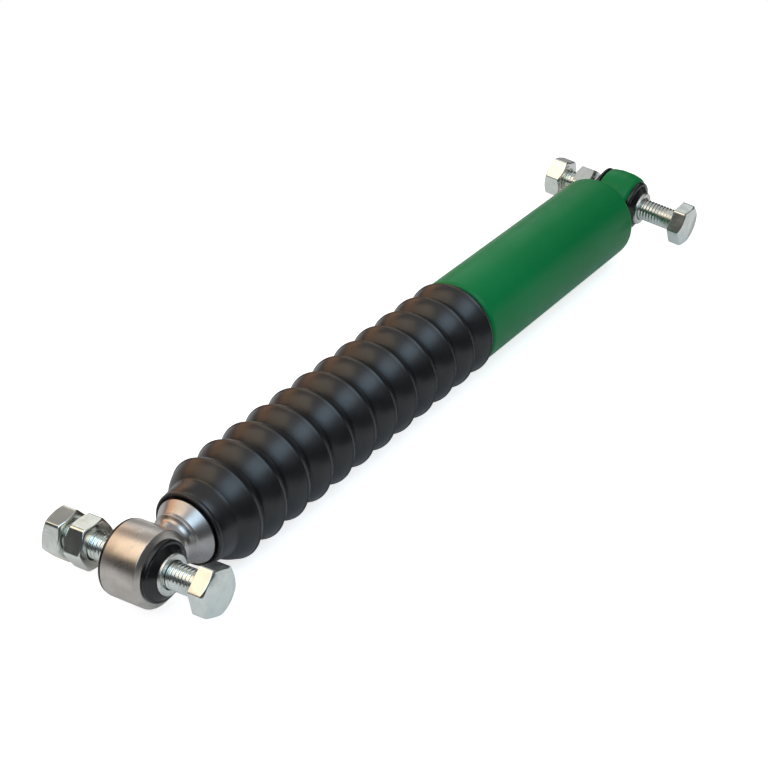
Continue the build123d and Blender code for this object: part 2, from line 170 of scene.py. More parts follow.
def objectFrom(name, bm, sharpAngle):
    bmesh.ops.recalc_face_normals(bm, faces=bm.faces)
    limit = math.radians(sharpAngle)
    for face in bm.faces:
        face.smooth = True
    for edge in bm.edges:
        if len(edge.link_faces) == 2:
            edge.smooth = edge.calc_face_angle(0.0) < limit
    mesh = bpy.data.meshes.new(name)
    bm.to_mesh(mesh)
    bm.free()
    piece = bpy.data.objects.new(name, mesh)
    bpy.context.scene.collection.objects.link(piece)
    return piece


def lathedPiece(name, place, outline, columns=128, sharpAngle=35.0):
    # an outline turned about the place's axis
    bm = bmesh.new()
    rings = [ringOf(bm, place, along, radius, columns) for along, radius in outline]
    joinRings(bm, rings, True)
    return objectFrom(name, bm, sharpAngle)


def applied(piece, sharpAngle=None):
    # the piece's modifiers become part of its mesh
    graph = bpy.context.evaluated_depsgraph_get()
    mesh = bpy.data.meshes.new_from_object(piece.evaluated_get(graph))
    piece.modifiers.clear()
    piece.data = mesh
    if sharpAngle is not None:
        bm = bmesh.new()
        bm.from_mesh(mesh)
        for edge in bm.edges:
            if len(edge.link_faces) == 2:
                edge.smooth = edge.calc_face_angle(0.0) < math.radians(sharpAngle)
        for face in bm.faces:
            face.smooth = True
        bm.to_mesh(mesh)
        bm.free()


def combined(piece, other, operation, sharpAngle=35.0):
    cut = piece.modifiers.new(operation.lower(), "BOOLEAN")
    cut.operation = operation
    cut.solver = "EXACT"
    cut.object = other
    applied(piece, sharpAngle)
    bpy.data.objects.remove(other)


def bored(piece, place, radius, sharpAngle=35.0):
    # a round hole right through an eye, along its axis
    reach = 20
    corners = [(-reach, 0, 0), (-reach, radius, 0), (reach, radius, 0), (reach, 0, 0)]
    drill = lathedPiece("bore", place, roundedOutline(corners))
    combined(piece, drill, "DIFFERENCE", sharpAngle)


def softened(piece, voxel, rounds):
    # a remesh and a light smoothing, as thick enamel rounds over a forging
    remesh = piece.modifiers.new("skin", "REMESH")
    remesh.mode = "VOXEL"
    remesh.voxel_size = voxel
    remesh.use_smooth_shade = True
    smooth = piece.modifiers.new("flow", "SMOOTH")
    smooth.factor = 0.5
    smooth.iterations = rounds
    applied(piece)


# Node groups and materials

def put(tree, kind, **values):
    # a new node, with its sockets and settings given by name
    node = tree.nodes.new(kind)
    for key, value in values.items():
        name = key.replace("_", " ")
        if name in node.inputs:
            node.inputs[name].default_value = value
        else:
            setattr(node, key, value)
    return node


def math2(tree, operation, first, second):
    node = put(tree, "ShaderNodeMath", operation=operation)
    for socket, value in zip(node.inputs, (first, second)):
        if isinstance(value, (int, float)):
            socket.default_value = value
        else:
            tree.links.new(value, socket)
    return node.outputs[0]


def stretched(tree, value, low, high, toLow=0.0, toHigh=1.0):
    node = put(tree, "ShaderNodeMapRange", From_Min=low, From_Max=high, To_Min=toLow, To_Max=toHigh)
    tree.links.new(value, node.inputs["Value"])
    return node.outputs["Result"]


def mixedColour(tree, amount, first, second):
    node = put(tree, "ShaderNodeMix", data_type="RGBA")
    tree.links.new(amount, node.inputs[0])
    node.inputs[6].default_value = (*first, 1.0)
    node.inputs[7].default_value = (*second, 1.0)
    return node.outputs[2]


def newGroup(name, inputs, outputs):
    group = bpy.data.node_groups.new(name, "ShaderNodeTree")
    for label, kind, value in inputs:
        socket = group.interface.new_socket(name=label, in_out="INPUT", socket_type=kind)
        if value is not None:
            socket.default_value = value
    for label in outputs:
        group.interface.new_socket(name=label, in_out="OUTPUT", socket_type="NodeSocketFloat")
    return group, group.nodes.new("NodeGroupInput"), group.nodes.new("NodeGroupOutput")


def makeLatheMarks():
    # fine circles that a turning tool leaves about an axis
    group, given, out = newGroup(
        "latheMarks",
        (
            ("Spot", "NodeSocketVector", None),
            ("Centre", "NodeSocketVector", (0, 0, 0)),
            ("Axis", "NodeSocketVector", (1, 0, 0)),
            ("Fineness", "NodeSocketFloat", 3000.0),
        ),
        ("Height", "Band"),
    )
    relative = put(group, "ShaderNodeVectorMath", operation="SUBTRACT")
    group.links.new(given.outputs["Spot"], relative.inputs[0])
    group.links.new(given.outputs["Centre"], relative.inputs[1])
    along = put(group, "ShaderNodeVectorMath", operation="DOT_PRODUCT")
    group.links.new(relative.outputs[0], along.inputs[0])
    group.links.new(given.outputs["Axis"], along.inputs[1])
    onAxis = put(group, "ShaderNodeVectorMath", operation="SCALE")
    group.links.new(given.outputs["Axis"], onAxis.inputs[0])
    group.links.new(along.outputs["Value"], onAxis.inputs["Scale"])
    outward = put(group, "ShaderNodeVectorMath", operation="SUBTRACT")
    group.links.new(relative.outputs[0], outward.inputs[0])
    group.links.new(onAxis.outputs[0], outward.inputs[1])
    radius = put(group, "ShaderNodeVectorMath", operation="LENGTH")
    group.links.new(outward.outputs[0], radius.inputs[0])
    for label, share in (("Height", 1.0), ("Band", 0.12)):
        fineness = math2(group, "MULTIPLY", given.outputs["Fineness"], share)
        spot = put(group, "ShaderNodeCombineXYZ")
        group.links.new(math2(group, "MULTIPLY", along.outputs["Value"], fineness), spot.inputs[0])
        group.links.new(math2(group, "MULTIPLY", radius.outputs["Value"], fineness), spot.inputs[1])
        noise = put(group, "ShaderNodeTexNoise", noise_dimensions="2D", Scale=1.0, Detail=3.0, Roughness=0.6)
        group.links.new(spot.outputs[0], noise.inputs["Vector"])
        group.links.new(noise.outputs["Fac"], out.inputs[label])
    return group


def makeHandling():
    # smudges from hands and short fine scratches
    group, given, out = newGroup(
        "handling",
        (("Spot", "NodeSocketVector", None), ("Scale", "NodeSocketFloat", 120.0)),
        ("Smudge", "Scratch"),
    )
    smudge = put(group, "ShaderNodeTexNoise", Detail=4.0, Roughness=0.65, Distortion=0.6)
    group.links.new(given.outputs["Spot"], smudge.inputs["Vector"])
    group.links.new(given.outputs["Scale"], smudge.inputs["Scale"])
    group.links.new(stretched(group, smudge.outputs["Fac"], 0.4, 0.68), out.inputs["Smudge"])
    squeeze = put(group, "ShaderNodeMapping", Rotation=(0.5, 0.9, 0.3), Scale=(1.0, 14.0, 1.0))
    group.links.new(given.outputs["Spot"], squeeze.inputs["Vector"])
    scratch = put(group, "ShaderNodeTexNoise", Detail=2.0, Roughness=0.5, Distortion=0.3)
    group.links.new(squeeze.outputs[0], scratch.inputs["Vector"])
    group.links.new(math2(group, "MULTIPLY", given.outputs["Scale"], 1.5), scratch.inputs["Scale"])
    group.links.new(stretched(group, scratch.outputs["Fac"], 0.66, 0.72), out.inputs["Scratch"])
    return group


def makeGrain():
    # even fine texture of paint or moulded rubber
    group, given, out = newGroup(
        "grain",
        (("Spot", "NodeSocketVector", None), ("Scale", "NodeSocketFloat", 1500.0)),
        ("Height", "Cloud"),
    )
    fine = put(group, "ShaderNodeTexNoise", Detail=2.0, Roughness=0.5)
    group.links.new(given.outputs["Spot"], fine.inputs["Vector"])
    group.links.new(given.outputs["Scale"], fine.inputs["Scale"])
    group.links.new(fine.outputs["Fac"], out.inputs["Height"])
    cloud = put(group, "ShaderNodeTexNoise", Detail=3.0, Roughness=0.55)
    group.links.new(given.outputs["Spot"], cloud.inputs["Vector"])
    group.links.new(math2(group, "MULTIPLY", given.outputs["Scale"], 0.05), cloud.inputs["Scale"])
    group.links.new(stretched(group, cloud.outputs["Fac"], 0.3, 0.7), out.inputs["Cloud"])
    return group


latheMarks, handling, grain = makeLatheMarks(), makeHandling(), makeGrain()


def startMaterial(name, **shaderValues):
    material = bpy.data.materials.new(name)
    material.use_nodes = True
    tree = material.node_tree
    tree.nodes.clear()
    shader = put(tree, "ShaderNodeBsdfPrincipled", **shaderValues)
    output = put(tree, "ShaderNodeOutputMaterial")
    tree.links.new(shader.outputs[0], output.inputs["Surface"])
    spot = put(tree, "ShaderNodeTexCoord").outputs["Object"]
    return material, tree, shader, spot


def useGroup(tree, group, spot, **values):
    node = put(tree, "ShaderNodeGroup", node_tree=group)
    tree.links.new(spot, node.inputs["Spot"])
    for name, value in values.items():
        node.inputs[name].default_value = value
    return node


def bumpFrom(tree, shader, height, strength, distance):
    bump = put(tree, "ShaderNodeBump", Strength=strength, Distance=distance)
    tree.links.new(height, bump.inputs["Height"])
    tree.links.new(bump.outputs[0], shader.inputs["Normal"])


def coatedMaterial(name, look):
    # enamel, rubber and plastic: two close colours in soft clouds, a fine grain and smudges from hands
    material, tree, shader, spot = startMaterial(name, IOR=look["ior"], Specular_IOR_Level=look["specular"])
    skin = useGroup(tree, grain, spot, Scale=look["grain"])
    hands = useGroup(tree, handling, spot, Scale=look["smudges"])
    base = mixedColour(tree, skin.outputs["Cloud"], look["deep"], look["light"])
    tree.links.new(base, shader.inputs["Base Color"])
    rough = stretched(tree, hands.outputs["Smudge"], 0, 1, *look["rough"])
    tree.links.new(rough, shader.inputs["Roughness"])
    bumpFrom(tree, shader, skin.outputs["Height"], look["bump"], look["bumpDepth"])
    return material


metalWear = {"smudgeShare": 0.75, "bandShare": 0.25, "scratchDepth": 0.12, "bumpDepth": 0.0001}


def metalMaterial(name, place, look):
    # bare or plated metal, turned about the axis of the place that it is on
    material, tree, shader, spot = startMaterial(name, Metallic=1.0)
    marks = useGroup(
        tree, latheMarks, spot, Centre=place.translation, Axis=place.to_3x3().col[2], Fineness=look["lines"]
    )
    hands = useGroup(tree, handling, spot, Scale=look["smudges"])
    blotch = math2(tree, "MULTIPLY", hands.outputs["Smudge"], metalWear["smudgeShare"])
    band = math2(tree, "MULTIPLY", marks.outputs["Band"], metalWear["bandShare"])
    blend = math2(tree, "ADD", blotch, band)
    tree.links.new(mixedColour(tree, blend, look["bright"], look["dull"]), shader.inputs["Base Color"])
    tree.links.new(stretched(tree, blend, 0, 1, *look["rough"]), shader.inputs["Roughness"])
    scratches = math2(tree, "MULTIPLY", hands.outputs["Scratch"], -metalWear["scratchDepth"])
    height = math2(tree, "ADD", marks.outputs["Height"], scratches)
    bumpFrom(tree, shader, height, look["lineDepth"], metalWear["bumpDepth"])
    return material


# grain, lines and smudges are counts per metre, so a larger value is finer
coatings = {
    "greenEnamel": {
        "deep": (0.0002, 0.186, 0.045),
        "light": (0.0006, 0.218, 0.058),
        "rough": (0.34, 0.42),
        "ior": 1.45,
        "specular": 0.26,
        "grain": 420.0,
        "smudges": 70.0,
        "bump": 0.1,
        "bumpDepth": 0.00015,
    },
    "bellowsRubber": {
        "deep": (0.0085, 0.0078, 0.0088),
        "light": (0.0135, 0.0122, 0.0128),
        "rough": (0.3, 0.37),
        "ior": 1.54,
        "specular": 0.5,
        "grain": 2600.0,
        "smudges": 90.0,
        "bump": 0.1,
        "bumpDepth": 0.0001,
    },
    "bushRubber": {
        "deep": (0.003, 0.003, 0.0033),
        "light": (0.006, 0.0058, 0.0056),
        "rough": (0.2, 0.3),
        "ior": 1.54,
        "specular": 0.5,
        "grain": 2200.0,
        "smudges": 90.0,
        "bump": 0.05,
        "bumpDepth": 0.0001,
    },
    "ringPlastic": {
        "deep": (0.2, 0.15, 0.08),
        "light": (0.26, 0.2, 0.11),
        "rough": (0.4, 0.5),
        "ior": 1.54,
        "specular": 0.5,
        "grain": 1800.0,
        "smudges": 90.0,
        "bump": 0.1,
        "bumpDepth": 0.0001,
    },
}
metals = {
    # the rod end's neck and flange: the same turned steel as the eye's ring, turned about the damper's axis,
    # with darker colours that are painted shade on the flange's cone
    "shadedTurnedSteel": {
        "bright": (0.45, 0.43, 0.425),
        "dull": (0.38, 0.365, 0.36),
        "rough": (0.26, 0.36),
        "lines": 4200.0,
        "lineDepth": 0.14,
        "smudges": 60.0,
    },
    "turnedSteelEye": {
        "bright": (0.61, 0.57, 0.53),
        "dull": (0.48, 0.44, 0.405),
        "rough": (0.26, 0.38),
        "lines": 4200.0,
        "lineDepth": 0.2,
        "smudges": 110.0,
    },
    "zinc": {
        "bright": (0.78, 0.81, 0.77),
        "dull": (0.64, 0.69, 0.66),
        "rough": (0.16, 0.28),
        "lines": 1800.0,
        "lineDepth": 0.04,
        "smudges": 200.0,
    },
    "sleeve": {
        "bright": (0.72, 0.72, 0.67),
        "dull": (0.55, 0.57, 0.55),
        "rough": (0.22, 0.36),
        "lines": 3600.0,
        "lineDepth": 0.2,
        "smudges": 300.0,
    },
    "chromedRod": {
        "bright": (0.86, 0.86, 0.87),
        "dull": (0.8, 0.8, 0.82),
        "rough": (0.06, 0.12),
        "lines": 6000.0,
        "lineDepth": 0.05,
        "smudges": 150.0,
    },
    "drawnSteel": {
        "bright": (0.58, 0.57, 0.55),
        "dull": (0.45, 0.44, 0.43),
        "rough": (0.3, 0.42),
        "lines": 3000.0,
        "lineDepth": 0.2,
        "smudges": 90.0,
    },
    "sinteredIron": {
        "bright": (0.36, 0.35, 0.34),
        "dull": (0.26, 0.26, 0.26),
        "rough": (0.5, 0.66),
        "lines": 1800.0,
        "lineDepth": 0.4,
        "smudges": 500.0,
    },
    "springSteel": {
        "bright": (0.5, 0.53, 0.6),
        "dull": (0.38, 0.42, 0.52),
        "rough": (0.2, 0.32),
        "lines": 4000.0,
        "lineDepth": 0.15,
        "smudges": 200.0,
    },
}
greenEnamel = coatedMaterial("greenEnamel", coatings["greenEnamel"])
bellowsRubber = coatedMaterial("bellowsRubber", coatings["bellowsRubber"])
bushRubber = coatedMaterial("bushRubber", coatings["bushRubber"])
# a darker copy of the eye's steel, its darkness painted shade on the flange's cone
shadedTurnedSteel = metalMaterial("shadedTurnedSteel", damperPlace, metals["shadedTurnedSteel"])
turnedSteelEye = metalMaterial("turnedSteelEye", rodEye, metals["turnedSteelEye"])
zincAt = {
    "rod": metalMaterial("zincRodEye", rodEye, metals["zinc"]),
    "body": metalMaterial("zincBodyEye", bodyEye, metals["zinc"]),
}
sleeveAt = {
    "rod": metalMaterial("sleeveRodEye", rodEye, metals["sleeve"]),
    "body": metalMaterial("sleeveBodyEye", bodyEye, metals["sleeve"]),
}
innerMaterials = {
    name: metalMaterial(name, damperPlace, metals[name])
    for name in ("chromedRod", "drawnSteel", "sinteredIron", "springSteel")
}
innerMaterials["ringPlastic"] = coatedMaterial("ringPlastic", coatings["ringPlastic"])
innerMaterials["bushRubber"] = bushRubber
print("materials made")


def finishPiece(piece, body, material, node):
    piece.data.materials.clear()
    piece.data.materials.append(material)
    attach(piece, body)
    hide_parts(node)


# The damper's tube and its eye

tubeShape = {
    "wall": 1.8,
    "mouthRounding": 1.9,
    "mouthEdge": 0.3,
    "shoulder": 3.5,
    "base": 2.5,
    "guideBoss": 12.0,
    "gap": 0.3,
}


def makeTube():
    low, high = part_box("outer_tube")
    mouth, end, radius = low.x / mm, high.x / mm, high.z / mm
    hole = tubeShape["guideBoss"] + tubeShape["gap"]
    inner = radius - tubeShape["wall"]
    rolledIn, base = mouth + tubeShape["wall"], end - tubeShape["base"]
    corners = [
        (mouth, hole, tubeShape["mouthEdge"]),
        (mouth, radius, tubeShape["mouthRounding"]),
        (end, radius, tubeShape["shoulder"]),
        (end, 0, 0),
        (base, 0, 0),
        (base, inner, 1.0),
        (rolledIn, inner, 0.4),
        (rolledIn, hole, tubeShape["mouthEdge"]),
    ]
    tube = lathedPiece("greenTube", damperPlace, roundedOutline(corners, 10), 192)
    finishPiece(tube, "damper_body", greenEnamel, "outer_tube")


eyeShape = {
    "ringHalf": 8.1,
    "ringRounding": 2.4,
    "crown": 1.0,
    "crownRounding": 5.0,
    "bushRim": 12.7,
    "boreRadius": 11.0,
    "footRadius": 11.1,
    "weldLength": 0.9,
    "weldDrop": 0.3,
    "flareLength": 3.4,
    "flareRadius": 8.2,
    "neckLength": 10.0,
    "neckRadius": 7.2,
    "pointLength": 14.0,
    "voxel": 0.32,
    "smoothing": 5,
}


def makeBodyEye():
    low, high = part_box("body_eye")
    start, radius, half = low.x / mm, high.z / mm, eyeShape["ringHalf"]
    corners = [
        (-half, 0, 0),
        (-half, radius - eyeShape["crown"], eyeShape["ringRounding"]),
        (-half / 3, radius, eyeShape["crownRounding"]),
        (half / 3, radius, eyeShape["crownRounding"]),
        (half, radius - eyeShape["crown"], eyeShape["ringRounding"]),
        (half, 0, 0),
    ]
    eye = lathedPiece("greenEye", bodyEye, roundedOutline(corners, 8))
    footCorners = [
        (start, 0, 0),
        (start, eyeShape["footRadius"], 0.4),
        (start + eyeShape["weldLength"], eyeShape["footRadius"] - eyeShape["weldDrop"], 0.8),
        (start + eyeShape["flareLength"], eyeShape["flareRadius"], 2.6),
        (start + eyeShape["neckLength"], eyeShape["neckRadius"], 0),
        (start + eyeShape["pointLength"], 0, 0),
    ]
    foot = lathedPiece("foot", damperPlace, roundedOutline(footCorners, 6), 96)
    combined(eye, foot, "UNION")
    bored(eye, bodyEye, eyeShape["boreRadius"])
    softened(eye, eyeShape["voxel"] * mm, eyeShape["smoothing"])
    finishPiece(eye, "damper_body", greenEnamel, "body_eye")


# The rod end fitting

fittingShape = {
    "ringRadius": 14.0,
    "ringFront": 8.3,
    "ringBack": 7.4,
    "chamfer": 1.2,
    "chamferDepth": 2.2,
    "backEdge": 0.3,
    "boreRadius": eyeShape["boreRadius"],
    "neckRadius": 8.0,
    "neckFillet": 2.2,
    "filletRun": 1.3,
    "shoulderRadius": 9.8,
    "shoulderX": 16.6,
    "shoulderLength": 1.4,
    "flangeX": 22.2,
    "flangeRadius": 12.7,
    "rim": 0.6,
    "spigotRadius": 11.2,
    "collarRadius": 12.2,
    "spigotLength": 8.0,
    "collarLength": 2.4,
    "studRadius": 4.55,
    "studDepth": 13.0,
}


def makeRodEnd():
    shape = fittingShape
    radius, front, ringBack = shape["ringRadius"], shape["ringFront"], shape["ringBack"]
    corners = [
        (-front, 0, 0),
        (-front, radius - shape["chamferDepth"], 0.15),
        (shape["chamfer"] - front, radius, 0.3),
        (ringBack, radius, shape["backEdge"]),
        (ringBack, 0, 0),
    ]
    eye = lathedPiece("turnedEye", rodEye, roundedOutline(corners), 160)
    eyeX = rodEye.translation.x / mm
    spigotX = eyeX + shape["flangeX"] + shape["rim"]
    endX = spigotX + shape["spigotLength"]
    shoulderX = eyeX + shape["shoulderX"]
    studX, collarX = endX - shape["studDepth"], endX - shape["collarLength"]
    neckCorners = [
        (eyeX, 0, 0),
        (eyeX, shape["neckRadius"], 0),
        (shoulderX - shape["filletRun"], shape["neckRadius"], shape["neckFillet"]),
        (shoulderX, shape["shoulderRadius"], 0.4),
        (shoulderX + shape["shoulderLength"], shape["shoulderRadius"], 0.5),
        (eyeX + shape["flangeX"], shape["flangeRadius"], 0.3),
        (spigotX, shape["flangeRadius"], 0.2),
        (spigotX, shape["spigotRadius"], 0),
        (collarX, shape["spigotRadius"], 0),
        (collarX, shape["collarRadius"], 0.2),
        (endX, shape["collarRadius"], 0.5),
        (endX, shape["studRadius"], 0),
        (studX, shape["studRadius"], 0),
        (studX, 0, 0),
    ]
    neck = lathedPiece("neck", damperPlace, roundedOutline(neckCorners), 160)
    combined(eye, neck, "UNION")
    bored(eye, rodEye, shape["boreRadius"], sharpAngle=28.0)
    eye.data.materials.clear()
    eye.data.materials.append(turnedSteelEye)
    eye.data.materials.append(shadedTurnedSteel)
    # the ring's faces take the first finish and the rest of the fitting the second, a darker copy of the
    # same steel that paints shade onto the flange's cone
    back = rodEye.inverted()
    for face in eye.data.polygons:
        spot = back @ face.center
        onRing = math.hypot(spot.x, spot.y) <= radius * mm * 1.001
        face.material_index = 0 if onRing else 1
    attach(eye, "rod")
    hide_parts("rod_end")


# Bushes, sleeves, bolts and nuts of both eyes

bushShape = {
    "bore": eyeShape["boreRadius"],
    "innerGap": 0.05,
    "edge": 0.12,
    "lipHeight": 1.5,
    "lipOverlap": 0.35,
    "lipRounding": 1.1,
    "lipStep": 0.25,
    "lipInset": 1.0,
    "noseHeight": 3.9,
    "noseInset": 0.7,
    "flangeInset": 0.25,
    "flange": 1.1,
    "flangeRounding": 0.45,
}


def makeBush(end, place, body, ringRadius, ringBack):
    # the bolt head's side has a lip and a nose, the nuts' side a flange and a nose
    shape = bushShape
    nose = spanAlong(f"{end}_eye_bush", place)[1] / mm
    half = nose - shape["noseHeight"]
    inner = reachFrom(f"{end}_eye_sleeve", place) / mm + shape["innerGap"]
    bore, lip, rim = shape["bore"], half + shape["lipHeight"], ringRadius - shape["flangeInset"]
    corners = [
        (-nose, inner, shape["edge"]),
        (-lip - shape["lipStep"], bore - shape["lipInset"], 0.35),
        (-lip, bore + shape["lipOverlap"], shape["lipRounding"]),
        (-half, bore + shape["lipOverlap"], 0),
        (-half, bore, 0),
        (ringBack, bore, 0),
        (ringBack, rim, shape["edge"]),
        (ringBack + shape["flange"], rim, shape["flangeRounding"]),
        (lip, bore - shape["noseInset"], 0.4),
        (nose, inner, shape["edge"]),
    ]
    bush = lathedPiece(f"{end}Bush", place, roundedOutline(corners, 6), 160)
    finishPiece(bush, body, bushRubber, f"{end}_eye_bush")


sleeveShape = {"bore": 5.25, "innerEdge": 0.35, "outerEdge": 0.5}


def makeSleeve(end, place):
    half = spanAlong(f"{end}_eye_sleeve", place)[1] / mm
    radius = reachFrom(f"{end}_eye_sleeve", place) / mm
    bore = sleeveShape["bore"]
    corners = [
        (-half, bore, sleeveShape["innerEdge"]),
        (-half, radius, sleeveShape["outerEdge"]),
        (half, radius, sleeveShape["outerEdge"]),
        (half, bore, sleeveShape["innerEdge"]),
    ]
    sleeve = lathedPiece(f"{end}Sleeve", place, roundedOutline(corners, 4), 96)
    finishPiece(sleeve, f"{end}_sleeve", sleeveAt[end], f"{end}_eye_sleeve")


threadShape = {
    "pitch": 1.5,
    "major": 4.9,
    "minor": 4.48,
    "flatShare": 0.2,  # of the pitch, for the flat root and as much again for the flat crest
    "point": 0.9,
    "rows": 10,
    "columns": 64,
}
hexShape = {
    "flats": 17.0,
    "headHeight": 6.4,
    "crown": 0.955,
    "crownAngle": 30.0,
    "edge": 0.14,
    "softness": 44,
    "columns": 120,
}
boltShape = {"threadSink": 0.5, "closingDepth": 0.1, "closingRadius": 3.0}
nutShape = {"bore": 5.0, "sink": 5.75, "sinkDepth": 0.75}


def threadRadius(share):
    # rounded crest and root of a metric thread, across one pitch
    flat = threadShape["flatShare"]
    flank = min(1.0, max(0.0, (abs(2 * share - 1) - flat) / (1 - 2 * flat)))
    rise = 0.5 - 0.5 * math.cos(math.pi * flank)
    return threadShape["minor"] + (threadShape["major"] - threadShape["minor"]) * rise


def threadInto(bm, place, start, tip):
    # rows of points run round the bolt along the helix, then both ends are cut square and closed
    rows, columns, pitch = threadShape["rows"], threadShape["columns"], threadShape["pitch"]
    count = int((tip - start) / pitch + 3) * rows
    grid = []
    for row in range(count):
        line = []
        for i in range(columns):
            along = start + (row / rows + i / columns - 1.5) * pitch
            cap = threadShape["major"] - threadShape["point"] + max(0.0, tip - along)
            radius = min(threadRadius(row % rows / rows), cap) * mm
            angle = 2 * math.pi * i / columns
            spot = Vector((radius * math.cos(angle), radius * math.sin(angle), along * mm))
            line.append(bm.verts.new(spot))
        grid.append(line)
    for row in range(count - 1):
        for i in range(columns):
            if i + 1 < columns:
                bm.faces.new((grid[row][i], grid[row][i + 1], grid[row + 1][i + 1], grid[row + 1][i]))
            elif row + rows + 1 < count:
                seam = row + rows
                bm.faces.new((grid[row][i], grid[seam][0], grid[seam + 1][0], grid[row + 1][i]))
    for along, outward in ((start, -1), (tip, 1)):
        bmesh.ops.bisect_plane(
            bm,
            geom=bm.verts[:] + bm.edges[:] + bm.faces[:],
            plane_co=(0, 0, along * mm),
            plane_no=(0, 0, outward),
            clear_outer=True,
        )
    bmesh.ops.holes_fill(bm, edges=[edge for edge in bm.edges if edge.is_boundary], sides=0)
    bmesh.ops.transform(bm, matrix=place, verts=bm.verts)


def hexReach(angle, corner):
    # radius of a hexagon with slightly rounded corners, in millimetres
    softness = hexShape["softness"]
    total = 0.0
    for k in range(3):
        turn = angle - corner - math.radians(30 + 60 * k)
        total += abs(math.cos(turn) / (hexShape["flats"] / 2)) ** softness
    return total ** (-1 / softness)


def hexRings(bm, place, low, high, corner, crownLow, crownHigh):
    # outer rings of a hexagon block, its faces turned down to a cone at the crowned ends
    columns = hexShape["columns"]
    flat = hexShape["flats"] / 2 * hexShape["crown"]
    slope = math.tan(math.radians(hexShape["crownAngle"]))
    angles = [2 * math.pi * i / columns for i in range(columns)]
    reaches = [hexReach(angle, corner) for angle in angles]

    def ring(radiusOf, heightOf):
        spots = []
        for angle, reach in zip(angles, reaches):
            radius = radiusOf(reach) * mm
            spots.append(Vector((radius * math.cos(angle), radius * math.sin(angle), heightOf(reach) * mm)))
        return [bm.verts.new(place @ spot) for spot in spots]

    edge = hexShape["edge"]
    rings = []
    if crownLow:
        rings.append(ring(lambda r: flat, lambda r: low))
        rings.append(ring(lambda r: r - edge, lambda r: low + (r - edge - flat) * slope))
        rings.append(ring(lambda r: r, lambda r: low + (r - flat) * slope + edge))
    else:
        rings.append(ring(lambda r: r - edge, lambda r: low))
        rings.append(ring(lambda r: r, lambda r: low + edge))
    if crownHigh:
        rings.append(ring(lambda r: r, lambda r: high - (r - flat) * slope - edge))
        rings.append(ring(lambda r: r - edge, lambda r: high - (r - edge - flat) * slope))
        rings.append(ring(lambda r: flat, lambda r: high))
    else:
        rings.append(ring(lambda r: r, lambda r: high - edge))
        rings.append(ring(lambda r: r - edge, lambda r: high))
    return rings


def makeBolt(end, place):
    top, tip = (value / mm for value in spanAlong(f"{end}_bolt", place))
    underside = top + hexShape["headHeight"]
    corner = cornerAngle(f"{end}_bolt", place, top * mm, underside * mm)
    # a shallow hollow closes the head's underside, where the thread runs into it
    closingHeight = (underside - boltShape["closingDepth"]) * mm
    bm = bmesh.new()
    threadInto(bm, place, underside - boltShape["threadSink"], tip)
    head = hexRings(bm, place, top, underside, corner, True, False)
    centre = ringOf(bm, place, top * mm, 0, 1)
    inside = ringOf(bm, place, closingHeight, boltShape["closingRadius"] * mm, hexShape["columns"])
    closing = ringOf(bm, place, closingHeight, 0, 1)
    joinRings(bm, [centre] + head + [inside, closing], False)
    bolt = objectFrom(f"{end}Bolt", bm, sharpAngle=32.0)
    finishPiece(bolt, f"{end}_bolt", zincAt[end], f"{end}_bolt")


def makeNut(end, which, place):
    node = f"{end}_{which}_nut"
    low, high = (value / mm for value in spanAlong(node, place))
    corner = cornerAngle(node, place, low * mm, high * mm)
    bm = bmesh.new()
    rings = hexRings(bm, place, low, high, corner, True, True)
    bore, sink, depth = nutShape["bore"], nutShape["sink"], nutShape["sinkDepth"]
    for along, radius in ((high, sink), (high - depth, bore), (low + depth, bore), (low, sink)):
        rings.append(ringOf(bm, place, along * mm, radius * mm, hexShape["columns"]))
    joinRings(bm, rings, True)
    nut = objectFrom(f"{end}{which.capitalize()}Nut", bm, sharpAngle=32.0)
    finishPiece(nut, node, zincAt[end], node)


# The bellows

bellowsShape = {
    "convolutions": 12,
    "lastShare": 0.72,
    "lipRadius": 14.6,
    "rootRadius": 15.7,
    "cuffLength": 8.7,
    "innerCuff": 11.6,
    "innerStart": 1.5,
    "dish": 1.3,
    "dishRise": 0.2,
    "pocket": 12.5,
    "pocketStart": 5.0,
    "valley": 15.3,
    "crestDrop": 0.3,
    "crestSlope": 14.0,
    "crestCurve": 12.0,
    "wall": 1.6,
    "endRadius": 18.0,
    "endTurn": 1.1,
    "innerEndTurn": 0.9,
    "hole": 12.3,
    "mouldLine": 0.3,
    "mouldWidth": 0.38,
    "mouldFrom": 0.9,
    "mouldSteps": (0.85, 0.65, 0.5, 0.38, 0.26, 0.13),  # away from the crest
    "lipPoints": (  # along from the cuff's front, and out from the lip's radius
        (0.25, -1.15),
        (0.02, -0.85),
        (0.02, -0.6),
        (0.3, -0.2),
        (0.85, 0.0),
        (1.5, 0.0),
        (1.75, -0.12),
        (2.0, 0.02),
        (4.5, 0.42),
    ),
    "rootPoints": ((-1.5, -0.28), (-0.3, -0.12)),  # along from the root, and out from its radius
    "endPoints": ((0.5, 0.95), (0.12, 0.45), (0.0, 0.0)),  # back from the end, and out from its radius
    "closest": 0.02,
    "steps": 16,
    "innerSteps": 8,
    "columns": 176,
}


def flankPoints(foot, crest, inset, steps):
    # an arc from a valley up to the crest, where the two flanks meet at a blunt edge
    run, rise = abs(crest[0] - foot[0]), crest[1] - foot[1]
    slope = math.radians(bellowsShape["crestSlope"])
    half = math.atan2(rise, run) - slope
    size = math.hypot(run, rise) / (2 * math.sin(half))
    points = []
    for step in range(steps + 1):
        turn = slope + 2 * half * (1 - step / steps)
        away = (size - inset) * math.sin(turn) - size * math.sin(slope)
        points.append((away, crest[1] - size * math.cos(slope) + (size - inset) * math.cos(turn)))
    return points


def mouldedCrest(crestRadius):
    # the last stretch of a flank, with one side of the mould's fine line on it
    slope = math.tan(math.radians(bellowsShape["crestSlope"]))
    points = []
    for away in bellowsShape["mouldSteps"]:
        line = bellowsShape["mouldLine"] * math.exp(-((away / bellowsShape["mouldWidth"]) ** 2))
        fall = away * slope + away * away / (2 * bellowsShape["crestCurve"])
        points.append((away, crestRadius - fall + line))
    return points


